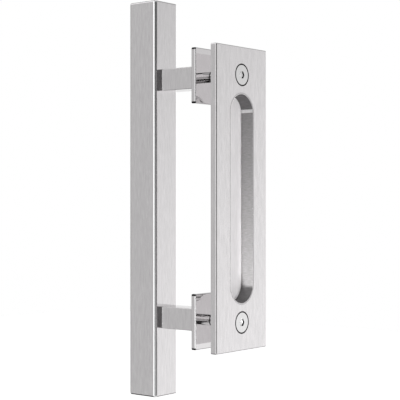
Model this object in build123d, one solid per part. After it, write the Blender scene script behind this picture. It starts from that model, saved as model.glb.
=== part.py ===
from build123d import *
import os

# Barn door handle set: a square pull bar on one face of the door and a flush pull plate on the other,
# joined through the door by two countersunk bolts.
#
# Frame, in millimetres: the origin is the centre of the flush plate's back face, where it lies on the door.
# +Z is up along the pull bar, +Y goes through the door towards the pull bar, X goes across the plate.

# Bolt places, and how far each long piece reaches from them
bolt_spacing = 179.5
recess_margin = 14.25
plate_margin = 20.4
bar_margin = 60.25
door_thickness = 22.0

# Pull bar: a square tube with a plate welded into each end
bar_width = 26.4
bar_wall = 1.5
bar_corner_radius = 2.2
bar_inner_radius = 0.5
bar_end_round = 1.2
cap_thickness = 3.0
cap_clearance = 0.05

# Posts that carry the bar
post_width = 16.4
post_length = 40.6
post_edge_round = 0.4

# Square flanges between the door and the posts
flange_width = 40.8
flange_thickness = 4.0
flange_edge_round = 0.85

# Flush plate
plate_thickness = 5.0
plate_side = 17.15
plate_edge_round = 0.8

# Finger recess: an obround cup brazed into the plate, its rim flush with the plate's front
recess_width = 26.4
recess_depth = 10.5
rim_round = 0.5
cup_wall = 1.3
cup_clearance = 0.08
cup_floor_radius = 0.6
cup_back_radius = 1.5

# Countersunk bolts with a hex socket, their threads drawn at the pitch line
shank_diameter = 8.0
shank_clearance = 0.5
thread_pitch = 1.25
thread_clearance = 0.05
thread_engagement = 12.0
tapped_hole_runout = 3.0
tip_chamfer = 0.8
head_diameter = 15.0
head_bevel = 0.3
head_ring_gap = 0.75
head_ring_depth = 2.0
head_seat_clearance = 0.05
socket_across_flats = 5.0
socket_depth = 1.3

# A round on an edge takes at most this share of the wall it is on
round_share = 0.45
# Depth of a metric thread's pitch line under its crest, for each millimetre of pitch
pitch_line_depth = 0.32476

# Sizes and places that follow
recess_length = bolt_spacing - 2 * recess_margin
plate_height = bolt_spacing + 2 * plate_margin
plate_width = recess_width + 2 * plate_side
bar_length = bolt_spacing + 2 * bar_margin
bolt_rows = {"upper": bolt_spacing / 2, "lower": -bolt_spacing / 2}

plate_front_y = -plate_thickness
recess_floor_y = plate_front_y + recess_depth
flange_face_y = door_thickness
flange_back_y = flange_face_y + flange_thickness
bar_face_y = flange_back_y + post_length
bar_center_y = bar_face_y + bar_width / 2
bolt_tip_y = flange_back_y + thread_engagement

shank_radius = shank_diameter / 2
hole_radius = shank_radius + shank_clearance
thread_radius = shank_radius - pitch_line_depth * thread_pitch
head_radius = head_diameter / 2
head_seat_y = shank_radius - head_radius


def slab(outline, near_y, far_y):
    """A solid with an outline drawn in X and Z, from near_y to far_y."""
    return extrude(Plane.XZ.offset(-far_y) * outline, far_y - near_y)


def turned(*profile):
    """A solid turned about the Y axis from (radius, y) points."""
    return revolve(make_face(Polyline(*profile, close=True)), axis=Axis.Y)


def obround(grow):
    """The upright recess outline, made larger by grow all round."""
    return SlotOverall(recess_length + 2 * grow, recess_width + 2 * grow, rotation=90)


def within(wall, radius):
    """An edge radius that its wall has room for."""
    return min(radius, round_share * wall)


def make_pull_tube():
    bore_width = bar_width - 2 * bar_wall
    bore = RectangleRounded(bore_width, bore_width, bar_inner_radius)
    bar = extrude(RectangleRounded(bar_width, bar_width, bar_corner_radius), bar_length / 2, both=True)
    end_edges = bar.faces().filter_by(Axis.Z).edges()
    bar = fillet(end_edges, bar_end_round)
    bar -= extrude(bore, bar_length / 2, both=True)
    return Pos(0, bar_center_y, 0) * bar


def make_end_cap(side):
    """The plate in one end of the tube: side is 1 at the top and -1 at the bottom."""
    width = bar_width - 2 * bar_wall - 2 * cap_clearance
    cap = extrude(RectangleRounded(width, width, bar_inner_radius), cap_thickness / 2, both=True)
    return Pos(0, bar_center_y, side * (bar_length - cap_thickness) / 2) * cap


def make_post():
    post = slab(Rectangle(post_width, post_width), flange_back_y, bar_face_y)
    post = fillet(post.edges().filter_by(Axis.Y), post_edge_round)
    tapped_hole = Circle(thread_radius + thread_clearance)
    return post - slab(tapped_hole, flange_back_y, bolt_tip_y + tapped_hole_runout)


def make_flange():
    flange = slab(Rectangle(flange_width, flange_width), flange_face_y, flange_back_y)
    flange = fillet(flange.edges(), within(flange_thickness, flange_edge_round))
    return flange - slab(Circle(hole_radius), flange_face_y, flange_back_y)


def make_bolt_hole():
    """The space for a bolt in the plate: a ring gap round the head's rim, its conical seat and a clear hole."""
    ring_radius = head_radius + head_ring_gap
    ring_floor_y = plate_front_y + head_ring_depth
    seat_radius = head_radius + head_seat_y - ring_floor_y + head_seat_clearance
    seat_end_y = ring_floor_y + seat_radius - hole_radius
    return turned(
        (0, plate_front_y),
        (ring_radius, plate_front_y),
        (ring_radius, ring_floor_y),
        (seat_radius, ring_floor_y),
        (hole_radius, seat_end_y),
        (hole_radius, flange_face_y),
        (0, flange_face_y),
    )


def make_flush_plate():
    plate = slab(Rectangle(plate_width, plate_height), plate_front_y, 0)
    door_edges = plate.edges().group_by(Axis.Y)[-1]
    plate = fillet(plate.edges() - door_edges, within(plate_thickness, plate_edge_round))
    plate -= slab(obround(cup_wall + cup_clearance), plate_front_y, 0)
    for row_z in bolt_rows.values():
        plate -= Pos(0, 0, row_z) * make_bolt_hole()
    return plate


def make_recess_cup():
    cup = slab(obround(cup_wall), plate_front_y, recess_floor_y + cup_wall)
    back_edges = cup.edges().group_by(Axis.Y)[-1]
    cup = fillet(back_edges, cup_back_radius)
    hollow = slab(obround(0), plate_front_y, recess_floor_y)
    floor_edges = hollow.edges().group_by(Axis.Y)[-1]
    cup -= fillet(floor_edges, cup_floor_radius)
    rim = cup.faces().filter_by(Axis.Y).sort_by(Axis.Y)[0]
    return fillet(rim.inner_wires().edges(), within(cup_wall, rim_round))


def make_bolt():
    bolt = turned(
        (0, plate_front_y),
        (head_radius - head_bevel, plate_front_y),
        (head_radius, plate_front_y + head_bevel),
        (head_radius, head_seat_y),
        (shank_radius, 0),
        (shank_radius, flange_face_y),
        (thread_radius, flange_face_y),
        (thread_radius, bolt_tip_y - tip_chamfer),
        (thread_radius - tip_chamfer, bolt_tip_y),
        (0, bolt_tip_y),
    )
    socket = RegularPolygon(socket_across_flats / 2, 6, major_radius=False)
    return bolt - slab(socket, plate_front_y, plate_front_y + socket_depth)


sub_parts = {
    "pull_tube": make_pull_tube(),
    "top_end_cap": make_end_cap(1),
    "bottom_end_cap": make_end_cap(-1),
    "flush_plate": make_flush_plate(),
    "recess_cup": make_recess_cup(),
}
for row, row_z in bolt_rows.items():
    sub_parts[row + "_post"] = Pos(0, 0, row_z) * make_post()
    sub_parts[row + "_flange"] = Pos(0, 0, row_z) * make_flange()
    sub_parts[row + "_bolt"] = Pos(0, 0, row_z) * make_bolt()

os.makedirs("parts", exist_ok=True)
for node, shape in sub_parts.items():
    export_step(shape, "parts/" + node + ".step")
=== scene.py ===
import math

import bpy
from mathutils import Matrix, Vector


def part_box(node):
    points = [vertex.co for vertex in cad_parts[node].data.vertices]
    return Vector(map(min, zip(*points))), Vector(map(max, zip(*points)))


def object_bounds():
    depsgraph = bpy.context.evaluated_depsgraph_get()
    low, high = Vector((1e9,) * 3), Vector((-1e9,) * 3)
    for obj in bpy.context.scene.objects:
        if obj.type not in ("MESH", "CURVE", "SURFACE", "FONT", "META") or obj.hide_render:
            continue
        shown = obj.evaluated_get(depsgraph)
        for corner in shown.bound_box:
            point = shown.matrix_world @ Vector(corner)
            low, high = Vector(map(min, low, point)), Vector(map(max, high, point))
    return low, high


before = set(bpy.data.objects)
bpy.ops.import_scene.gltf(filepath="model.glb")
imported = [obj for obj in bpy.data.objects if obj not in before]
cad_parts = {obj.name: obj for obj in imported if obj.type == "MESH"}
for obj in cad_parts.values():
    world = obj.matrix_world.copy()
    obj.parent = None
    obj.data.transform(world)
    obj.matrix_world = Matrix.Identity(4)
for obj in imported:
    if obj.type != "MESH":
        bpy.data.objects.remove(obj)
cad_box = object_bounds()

# Barn door handle set in brushed steel, shown by itself in a white studio.
# Metres. X goes across the flush plate, +Y through the door to the pull bar, +Z up along the bar.

# A millimetre in metres, half a turn in degrees, and plain white
MM = 0.001
half_turn = 180.0
white = (1.0, 1.0, 1.0, 1.0)

# Camera: level, a little way round to the left of the flush plate's front
camera_place = Vector((-0.6883, -0.5164, 0.0))
camera_turn = math.radians(-51.36)
camera_lens = 106.4
camera_sensor = 36.0
camera_shift_right = -0.0004
camera_shift_up = -0.00325

# Floor: far enough under the set for its shadow to fall below the picture
floor_drop = 0.45
floor_size = 8.0
floor_color = (0.86, 0.86, 0.86, 1.0)
floor_roughness = 0.9
floor_shine = 0.0
floor_lift = 0.6

# Studio walls: brightness at heights above and under the set, as (sine of elevation, level)
wall_levels = [
    (-1.0, 0.70),
    (-0.45, 0.95),
    (-0.17, 1.06),
    (0.0, 0.92),
    (0.17, 0.71),
    (0.6, 0.40),
    (1.0, 0.60),
]

# Panels over the walls, in degrees: bearings counter-clockwise from +X, elevations and softness of the edge
studio_panels = {
    "white back wall": {"bearings": (5, 62), "elevations": (-14, 16), "soft": 3, "level": 0.89},
    "lit band over the back": {"bearings": (92, 152), "elevations": (14, 62), "soft": 3, "level": 1.2},
    "dark ceiling at the back": {"bearings": (42, 92), "elevations": (24, 85), "soft": 3, "level": 0.04},
    "shade under the back": {"bearings": (42, 152), "elevations": (-85, -21), "soft": 3, "level": 0.03},
    "dark doorway at the back": {"bearings": (62, 104), "elevations": (-12, 12), "soft": 3, "level": 0.12},
    "grey side wall": {"bearings": (104, 158), "elevations": (-14, 14), "soft": 3, "level": 0.60},
    "left softbox": {"bearings": (159, 196), "elevations": (-12, 40), "soft": 3, "level": 1.42},
    "dark front curtain": {"bearings": (199, 310), "elevations": (-14, 22), "soft": 4, "level": 0.12},
    "gap under the curtain": {"bearings": (232, 268), "elevations": (-40, 0), "soft": 8, "level": 0.5},
    "right softbox": {"bearings": (331.5, 361), "elevations": (-30, 20), "soft": 10, "level": 1.38},
    "shade under the right": {"bearings": (325, 400), "elevations": (-60, -24), "soft": 3, "level": 0.4},
}

# Lamps for the satin surfaces alone: place, aim and size in metres, spread in degrees, power in watts
lamps = {
    "front lamp": {
        "place": (0.05, -0.9, -0.12),
        "aim": (0.0, 0.0, 0.0),
        "size": 0.3,
        "spread": 180,
        "power": 5.2,
    },
    "low side lamp": {
        "place": (-0.2, -0.0775, -0.15),
        "aim": (0.013, 0.0, -0.07),
        "size": 0.03,
        "spread": 70,
        "power": 0.245,
    },
}

# Steel colours
steel_color = (0.755, 0.737, 0.745, 1.0)
bolt_color = (0.765, 0.76, 0.762, 1.0)
# Painted shade on the recess rim
rim_shade_color = (0.563, 0.55, 0.556, 1.0)
# Painted shade darkening the recess walls
wall_shade_color = (0.258, 0.252, 0.254, 1.0)
# Painted shade, darker still, at the round ends of the recess
end_shade_color = (0.199, 0.195, 0.197, 1.0)
# Painted highlight band across the recess walls
band_highlight_color = (0.97, 0.97, 0.975, 1.0)
# Painted black shade in the bolts' sockets and round their heads, and painted dark reflections at the ends of
# the flanges' sides
painted_dark_color = (0.02, 0.02, 0.021, 1.0)
# Lighter colour on the flanges' satin edges: a painted highlight
broken_edge_highlight_color = (0.9, 0.9, 0.905, 1.0)
# Lighter colour on the bar's upright front edges: a painted highlight
painted_edge_highlight_color = (0.97, 0.97, 0.975, 1.0)

# Brushing along Z: roughness, sideways stretch of reflections, and the tone, size and depth of its strokes
bar_brushing = {
    "roughness": 0.16,
    "stretch": 0.6,
    "tone_spread": 0.3,
    "stroke_size": (1.3 * MM, 1.3 * MM, 9.0 * MM),
    "scratch_depth": 0.0005 * MM,
}
post_brushing = bar_brushing | {"roughness": 0.14, "stretch": 0.5}
flange_brushing = bar_brushing | {
    "roughness": 0.06,
    "stretch": 0.3,
    "tone_spread": 0.15,
    "scratch_depth": 0.0003 * MM,
}
plate_brushing = bar_brushing | {"stretch": 0.5, "stroke_size": (1.5 * MM, 1.5 * MM, 9.0 * MM)}
cup_brushing = plate_brushing | {"roughness": 0.2}
bolt_brushing = bar_brushing | {
    "roughness": 0.08,
    "stretch": 0.3,
    "tone_spread": 0.2,
    "stroke_size": (0.8 * MM, 0.8 * MM, 5.0 * MM),
}
roughness_spread = 0.4

# Fine marks of the drawing tool on the recess walls, along Y
drawing_marks = {"tone_spread": 0.9, "stroke_size": (0.7 * MM, 3.5 * MM, 0.7 * MM)}

# Grain of all strokes: how many finer layers it has, how strong they are, and its middle height
stroke_detail = 4.0
stroke_grit = 0.65
stroke_middle = 0.5

# Satin and dull surfaces: the recess, the bolts' sockets and the flanges' broken edges
satin_roughness = 0.45
satin_shine = 0.1
satin_metal = 0.1
drawn_metal = 0.3
dull_metal = 0.9
broken_edge_metal = 0.85

# How far a surface is turned where a finish begins and where it is full, as shares of its normal
facing_turn = (0.7, 0.95)
# Where the bar's edges painted as a highlight begin and are full:
edge_highlight_turn = (0.05, 0.25)
broken_edge_turn = (0.4, 0.55)
flange_side_turn = 0.08
rounded_end_turn = (0.05, 0.3)

# Back face of the flush plate: the recess floor and the bolts' shanks lie behind it
plate_back_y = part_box("flush_plate")[1].y

# Painted dark reflections at the ends of the flanges' sides: their length, and how far from a flange's middle
# they start
painted_mark_length = 1.4 * MM
flange_low, flange_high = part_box("upper_flange")
flange_center_z = (flange_low.z + flange_high.z) / 2
painted_mark_start = flange_high.z - painted_mark_length - flange_center_z

# Painted highlight band across the recess walls, where the round top begins
band_drop = 11.2 * MM
band_height = 2.4 * MM
band_top_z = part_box("recess_cup")[1].z - band_drop
band_bottom_z = band_top_z - band_height

# Front faces of the bolts behind this place are the floors of their sockets
socket_floor_depth = 0.4 * MM
socket_floor_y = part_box("upper_bolt")[0].y + socket_floor_depth

# Painted shade where steel stands close, darkest in the ring round the bolt heads: how far off the steel
# across it is felt, and in how many directions
shade_reach = 4.0 * MM
shade_samples = 8


def add_node(tree, kind, **settings):
    node = tree.nodes.new(kind)
    for name, value in settings.items():
        setattr(node, name, value)
    return node


def plug(tree, socket, value):
    """Links a socket to another one, or sets it to a plain value."""
    if isinstance(value, bpy.types.NodeSocket):
        tree.links.new(value, socket)
    else:
        socket.default_value = value


def calculate(tree, operation, *values):
    """The output of a Math node fed with sockets or numbers."""
    node = add_node(tree, "ShaderNodeMath", operation=operation)
    for socket, value in zip(node.inputs, values):
        plug(tree, socket, value)
    return node.outputs[0]


def soft_step(tree, value, start, full):
    """A mask that rises softly from 0 to 1 while a value goes from start to full."""
    node = add_node(tree, "ShaderNodeMapRange", interpolation_type="SMOOTHSTEP")
    plug(tree, node.inputs["Value"], value)
    plug(tree, node.inputs["From Min"], start)
    plug(tree, node.inputs["From Max"], full)
    return node.outputs["Result"]


def blend(tree, data_type, ending, share, first, second):
    """The output of a Mix node, whose sockets for each type of data have their own ending."""
    node = add_node(tree, "ShaderNodeMix", data_type=data_type)
    inputs = {socket.identifier: socket for socket in node.inputs}
    outputs = {socket.identifier: socket for socket in node.outputs}
    plug(tree, inputs["Factor_Float"], share)
    plug(tree, inputs["A_" + ending], first)
    plug(tree, inputs["B_" + ending], second)
    return outputs["Result_" + ending]


def blend_levels(tree, share, first, second):
    """A number between two others: share 0 gives the first and share 1 the second."""
    return blend(tree, "FLOAT", "Float", share, first, second)


def blend_colors(tree, share, first, second):
    """A colour between two others: share 0 gives the first and share 1 the second."""
    return blend(tree, "RGBA", "Color", share, first, second)


def scale_color(tree, color, factor):
    """A colour made lighter or darker by a factor."""
    node = add_node(tree, "ShaderNodeVectorMath", operation="SCALE")
    plug(tree, node.inputs[0], color)
    plug(tree, node.inputs["Scale"], factor)
    return node.outputs[0]


def split_axes(tree, coordinates):
    """The X, Y and Z of one output of the Texture Coordinate node."""
    axes = add_node(tree, "ShaderNodeSeparateXYZ")
    plug(tree, axes.inputs[0], add_node(tree, "ShaderNodeTexCoord").outputs[coordinates])
    return axes.outputs


def new_group(name, inputs, outputs):
    """A shader node group with named sockets: gives the group, what it is given and what it puts out."""
    group = bpy.data.node_groups.new(name, "ShaderNodeTree")
    for socket_name, kind in inputs.items():
        group.interface.new_socket(socket_name, in_out="INPUT", socket_type=kind)
    for socket_name, kind in outputs.items():
        group.interface.new_socket(socket_name, in_out="OUTPUT", socket_type=kind)
    given = add_node(group, "NodeGroupInput")
    result = add_node(group, "NodeGroupOutput")
    return group, given.outputs, result.inputs


def place_group(tree, group, **values):
    """A group node with its inputs set by name."""
    node = add_node(tree, "ShaderNodeGroup", node_tree=group)
    for name, value in values.items():
        plug(tree, node.inputs[name.replace("_", " ").title()], value)
    return node


def make_studio_panel_group():
    """Mask of one soft-edged panel, from the bearing and elevation of a direction, in degrees."""
    inputs = {
        "Bearing": "NodeSocketFloat",
        "Elevation": "NodeSocketFloat",
        "Panel Bearing": "NodeSocketFloat",
        "Half Width": "NodeSocketFloat",
        "Panel Elevation": "NodeSocketFloat",
        "Half Height": "NodeSocketFloat",
        "Soft Edge": "NodeSocketFloat",
    }
    group, given, result = new_group("Studio panel", inputs, {"Mask": "NodeSocketFloat"})
    around = calculate(group, "SUBTRACT", given["Bearing"], given["Panel Bearing"])
    around = calculate(group, "WRAP", around, half_turn, -half_turn)
    above = calculate(group, "SUBTRACT", given["Elevation"], given["Panel Elevation"])
    outer_edge = calculate(group, "MULTIPLY", given["Soft Edge"], -1.0)
    masks = []
    for offset, half_size in ((around, given["Half Width"]), (above, given["Half Height"])):
        inside = calculate(group, "SUBTRACT", half_size, calculate(group, "ABSOLUTE", offset))
        masks.append(soft_step(group, inside, outer_edge, given["Soft Edge"]))
    plug(group, result["Mask"], calculate(group, "MULTIPLY", *masks))
    return group


def make_studio():
    """White to the camera; the steel and the floor see walls with a few large panels."""
    world = bpy.data.worlds.new("studio")
    world.use_nodes = True
    bpy.context.scene.world = world
    tree = world.node_tree
    tree.nodes.clear()

    direction = split_axes(tree, "Generated")
    bearing = calculate(tree, "DEGREES", calculate(tree, "ARCTAN2", direction["Y"], direction["X"]))
    elevation = calculate(tree, "DEGREES", calculate(tree, "ARCSINE", direction["Z"]))

    # The ramp of the walls goes from straight down, at 0, to straight up, at 1
    walls = add_node(tree, "ShaderNodeValToRGB")
    height_share = calculate(tree, "DIVIDE", calculate(tree, "ADD", direction["Z"], 1.0), 2.0)
    plug(tree, walls.inputs["Fac"], height_share)
    stops = walls.color_ramp.elements
    while len(stops) < len(wall_levels):
        stops.new(1.0)
    for stop, (height, level) in zip(stops, wall_levels):
        stop.position = (height + 1.0) / 2.0
        stop.color = (level, level, level, 1.0)
    studio_level = walls.outputs["Color"]

    panel_group = make_studio_panel_group()
    for name, panel in studio_panels.items():
        left, right = panel["bearings"]
        bottom, top = panel["elevations"]
        mask = place_group(
            tree,
            panel_group,
            bearing=bearing,
            elevation=elevation,
            panel_bearing=(left + right) / 2,
            half_width=(right - left) / 2,
            panel_elevation=(bottom + top) / 2,
            half_height=(top - bottom) / 2,
            soft_edge=panel["soft"],
        )
        mask.label = name
        studio_level = blend_levels(tree, mask.outputs["Mask"], studio_level, panel["level"])

    to_camera = add_node(tree, "ShaderNodeLightPath").outputs["Is Camera Ray"]
    background = add_node(tree, "ShaderNodeBackground")
    plug(tree, background.inputs["Color"], blend_levels(tree, to_camera, studio_level, 1.0))
    output = add_node(tree, "ShaderNodeOutputWorld")
    plug(tree, output.inputs["Surface"], background.outputs[0])


def make_floor():
    """A pale floor that the steel doesn't reflect, lifted to white for the camera where no shadow falls."""
    bottom = cad_box[0].z - floor_drop
    bpy.ops.mesh.primitive_plane_add(size=floor_size, location=(0, 0, bottom))
    floor = bpy.context.object
    floor.name = "floor"
    floor.visible_glossy = False
    material = bpy.data.materials.new("pale floor")
    material.use_nodes = True
    tree = material.node_tree
    shader = tree.nodes["Principled BSDF"]
    shader.inputs["Base Color"].default_value = floor_color
    shader.inputs["Roughness"].default_value = floor_roughness
    shader.inputs["Specular IOR Level"].default_value = floor_shine
    shader.inputs["Emission Color"].default_value = white
    to_camera = add_node(tree, "ShaderNodeLightPath").outputs["Is Camera Ray"]
    plug(tree, shader.inputs["Emission Strength"], calculate(tree, "MULTIPLY", to_camera, floor_lift))
    floor.data.materials.append(material)


def make_camera():
    camera = bpy.data.cameras.new("camera")
    camera.lens = camera_lens
    camera.sensor_width = camera_sensor
    camera.shift_x = camera_shift_right
    camera.shift_y = camera_shift_up
    stand = bpy.data.objects.new("camera", camera)
    stand.location = camera_place
    stand.rotation_euler = (math.pi / 2, 0, camera_turn)
    bpy.context.scene.collection.objects.link(stand)
    bpy.context.scene.camera = stand


def make_lamps():
    """Lamps that neither the camera nor the polished steel sees."""
    for name, lamp in lamps.items():
        light = bpy.data.lights.new(name, "AREA")
        light.size = lamp["size"]
        light.energy = lamp["power"]
        light.spread = math.radians(lamp["spread"])
        stand = bpy.data.objects.new(name, light)
        stand.location = lamp["place"]
        away = Vector(lamp["place"]) - Vector(lamp["aim"])
        stand.rotation_euler = away.to_track_quat("Z", "Y").to_euler()
        stand.visible_camera = False
        stand.visible_glossy = False
        bpy.context.scene.collection.objects.link(stand)


def make_facing_group():
    """Masks of the surfaces that face the front, -Y, and the back, +Y."""
    group, _, masks = new_group("Facing", {}, {"Front": "NodeSocketFloat", "Back": "NodeSocketFloat"})
    backward = split_axes(group, "Normal")["Y"]
    forward = calculate(group, "MULTIPLY", backward, -1.0)
    plug(group, masks["Front"], soft_step(group, forward, *facing_turn))
    plug(group, masks["Back"], soft_step(group, backward, *facing_turn))
    return group


def make_brushing_group():
    """Long strokes in the steel: their tone, their roughness and the height of their scratches."""
    inputs = {
        "Steel": "NodeSocketColor",
        "Tone Spread": "NodeSocketFloat",
        "Roughness": "NodeSocketFloat",
        "Roughness Spread": "NodeSocketFloat",
        "Stroke Size": "NodeSocketVector",
    }
    outputs = {"Color": "NodeSocketColor", "Roughness": "NodeSocketFloat", "Height": "NodeSocketFloat"}
    group, given, result = new_group("Brushing", inputs, outputs)
    along = add_node(group, "ShaderNodeVectorMath", operation="DIVIDE")
    plug(group, along.inputs[0], add_node(group, "ShaderNodeTexCoord").outputs["Object"])
    plug(group, along.inputs[1], given["Stroke Size"])
    noise = add_node(group, "ShaderNodeTexNoise")
    noise.inputs["Scale"].default_value = 1.0
    noise.inputs["Detail"].default_value = stroke_detail
    noise.inputs["Roughness"].default_value = stroke_grit
    plug(group, noise.inputs["Vector"], along.outputs[0])
    height = noise.outputs["Fac"]

    swing = calculate(group, "SUBTRACT", height, stroke_middle)
    tone = calculate(group, "MULTIPLY_ADD", swing, given["Tone Spread"], 1.0)
    roughness = calculate(group, "MULTIPLY_ADD", swing, given["Roughness Spread"], given["Roughness"])
    plug(group, result["Color"], scale_color(group, given["Steel"], tone))
    plug(group, result["Roughness"], roughness)
    plug(group, result["Height"], height)
    return group


def new_brushed_steel(name, color, brushing):
    """Starts a steel brushed along Z: gives the material, its tree, its shader and the strokes on it."""
    material = bpy.data.materials.new(name)
    material.use_nodes = True
    tree = material.node_tree
    shader = tree.nodes["Principled BSDF"]
    shader.inputs["Metallic"].default_value = 1.0
    shader.inputs["Anisotropic"].default_value = brushing["stretch"]
    tangent = add_node(tree, "ShaderNodeTangent", direction_type="RADIAL", axis="Z")
    plug(tree, shader.inputs["Tangent"], tangent.outputs[0])
    strokes = place_group(
        tree,
        brushing_group,
        steel=color,
        tone_spread=brushing["tone_spread"],
        roughness=brushing["roughness"],
        roughness_spread=roughness_spread * brushing["roughness"],
        stroke_size=brushing["stroke_size"],
    ).outputs
    bump = add_node(tree, "ShaderNodeBump")
    bump.inputs["Strength"].default_value = 1.0
    bump.inputs["Distance"].default_value = brushing["scratch_depth"]
    plug(tree, bump.inputs["Height"], strokes["Height"])
    plug(tree, shader.inputs["Normal"], bump.outputs["Normal"])
    plug(tree, shader.inputs["Base Color"], strokes["Color"])
    plug(tree, shader.inputs["Roughness"], strokes["Roughness"])
    return material, tree, shader, strokes


def bar_steel(name):
    """Brushed steel, its upright front edges painted lighter as a highlight."""
    material, tree, shader, strokes = new_brushed_steel(name, steel_color, bar_brushing)
    normal = split_axes(tree, "Normal")
    sideways = calculate(tree, "ABSOLUTE", normal["X"])
    forward = calculate(tree, "MULTIPLY", normal["Y"], -1.0)
    # The upright front edges get a painted highlight
    edge = soft_step(tree, calculate(tree, "MULTIPLY", sideways, forward), *edge_highlight_turn)
    plug(tree, shader.inputs["Base Color"], blend_colors(tree, edge, strokes["Color"], painted_edge_highlight_color))
    return material


def post_steel(name):
    """Plain brushed steel."""
    return new_brushed_steel(name, steel_color, post_brushing)[0]


def flange_steel(name):
    """Polished steel, its upright front edges broken to satin and painted lighter as a highlight, the short
    ends of its sides painted dark as a reflection.
    """
    material, tree, shader, strokes = new_brushed_steel(name, steel_color, flange_brushing)
    normal = split_axes(tree, "Normal")
    side = calculate(tree, "GREATER_THAN", calculate(tree, "ABSOLUTE", normal["X"]), flange_side_turn)
    forward = calculate(tree, "MULTIPLY", normal["Y"], -1.0)
    broken = calculate(tree, "MULTIPLY", side, soft_step(tree, forward, *broken_edge_turn))
    # The flanges lie at the same height over and under the middle of the set
    height = calculate(tree, "ABSOLUTE", split_axes(tree, "Object")["Z"])
    off_center = calculate(tree, "ABSOLUTE", calculate(tree, "SUBTRACT", height, flange_center_z))
    # Painted dark reflection on the short ends of the sides
    painted_end_mark = calculate(tree, "MULTIPLY", side, calculate(tree, "GREATER_THAN", off_center, painted_mark_start))

    # The satin edges get a lighter colour as a painted highlight
    color = blend_colors(tree, broken, strokes["Color"], broken_edge_highlight_color)
    plug(tree, shader.inputs["Base Color"], blend_colors(tree, painted_end_mark, color, painted_dark_color))
    plug(tree, shader.inputs["Roughness"], blend_levels(tree, broken, strokes["Roughness"], satin_roughness))
    plug(tree, shader.inputs["Metallic"], blend_levels(tree, broken, 1.0, broken_edge_metal))
    return material


def plate_steel(name):
    """Brushed steel with painted shade where other steel stands close, darkest in the rings round the bolt
    heads.
    """
    material, tree, shader, strokes = new_brushed_steel(name, steel_color, plate_brushing)
    # Painted shade: the colour darkens where other steel stands close
    crevice_shade = add_node(tree, "ShaderNodeAmbientOcclusion", samples=shade_samples)
    crevice_shade.inputs["Distance"].default_value = shade_reach
    plug(tree, shader.inputs["Base Color"], scale_color(tree, strokes["Color"], crevice_shade.outputs["AO"]))
    return material


def cup_steel(name):
    """Brushed rim and back, satin floor and outside, and drawn walls darkened by painted shade, more metallic
    and darker by painted shade at the round ends; the rim is darkened by painted shade and a painted
    highlight band crosses the walls under the round top.
    """
    material, tree, shader, strokes = new_brushed_steel(name, steel_color, cup_brushing)
    shader.inputs["Specular IOR Level"].default_value = satin_shine
    place = split_axes(tree, "Object")
    normal = split_axes(tree, "Normal")
    facing = place_group(tree, facing_group).outputs
    rim = calculate(tree, "MULTIPLY", facing["Front"], calculate(tree, "LESS_THAN", place["Y"], plate_back_y))
    brushed = calculate(tree, "ADD", rim, facing["Back"])
    outward = calculate(tree, "MULTIPLY", normal["X"], place["X"])
    outward = calculate(tree, "MULTIPLY_ADD", normal["Z"], place["Z"], outward)
    inward = calculate(tree, "LESS_THAN", outward, 0.0)
    wall = calculate(tree, "MULTIPLY", inward, calculate(tree, "SUBTRACT", 1.0, facing["Front"]))
    over = calculate(tree, "GREATER_THAN", place["Z"], band_bottom_z)
    under = calculate(tree, "LESS_THAN", place["Z"], band_top_z)
    highlight_band = calculate(tree, "MULTIPLY", over, under)
    rounded_end = soft_step(tree, calculate(tree, "ABSOLUTE", normal["Z"]), *rounded_end_turn)

    # Painted shade on the walls, darker at the round ends
    wall_color = blend_colors(tree, rounded_end, wall_shade_color, end_shade_color)
    marks = place_group(tree, brushing_group, steel=wall_color, **drawing_marks).outputs
    # Painted highlight band across the walls
    wall_color = blend_colors(tree, highlight_band, marks["Color"], band_highlight_color)
    color = blend_colors(tree, wall, strokes["Color"], wall_color)
    # Painted shade on the rim
    plug(tree, shader.inputs["Base Color"], blend_colors(tree, rim, color, rim_shade_color))
    plug(tree, shader.inputs["Roughness"], blend_levels(tree, brushed, satin_roughness, strokes["Roughness"]))
    wall_metal = blend_levels(tree, rounded_end, drawn_metal, dull_metal)
    metal = blend_levels(tree, wall, satin_metal, wall_metal)
    bright = calculate(tree, "MULTIPLY_ADD", wall, highlight_band, brushed)
    plug(tree, shader.inputs["Metallic"], blend_levels(tree, bright, metal, 1.0))
    return material


def bolt_steel(name):
    """Bright, with a satin socket floor; painted black as shade in the socket's walls and round the head's
    rim.
    """
    material, tree, shader, strokes = new_brushed_steel(name, bolt_color, bolt_brushing)
    shader.inputs["Specular IOR Level"].default_value = satin_shine
    front = place_group(tree, facing_group).outputs["Front"]
    depth = split_axes(tree, "Object")["Y"]
    shank = calculate(tree, "GREATER_THAN", depth, plate_back_y)
    bright = calculate(tree, "MAXIMUM", front, shank)
    socket_floor = calculate(tree, "MULTIPLY", front, calculate(tree, "GREATER_THAN", depth, socket_floor_y))

    # Painted black shade everywhere but the front faces and the shank
    plug(tree, shader.inputs["Base Color"], blend_colors(tree, bright, painted_dark_color, strokes["Color"]))
    roughness = blend_levels(tree, socket_floor, strokes["Roughness"], satin_roughness)
    plug(tree, shader.inputs["Roughness"], roughness)
    plug(tree, shader.inputs["Metallic"], blend_levels(tree, socket_floor, 1.0, satin_metal))
    return material


make_camera()
make_studio()
make_floor()
make_lamps()

brushing_group = make_brushing_group()
facing_group = make_facing_group()
finishes = {
    "bar_steel": bar_steel("brushed bar"),
    "post_steel": post_steel("brushed post"),
    "flange_steel": flange_steel("polished flange"),
    "plate_steel": plate_steel("brushed plate"),
    "cup_steel": cup_steel("drawn cup"),
    "bolt_steel": bolt_steel("turned bolt"),
}
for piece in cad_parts.values():
    slot = piece.material_slots[0]
    slot.material = finishes[slot.material.name]

bpy.context.scene.view_settings.view_transform = "Standard"
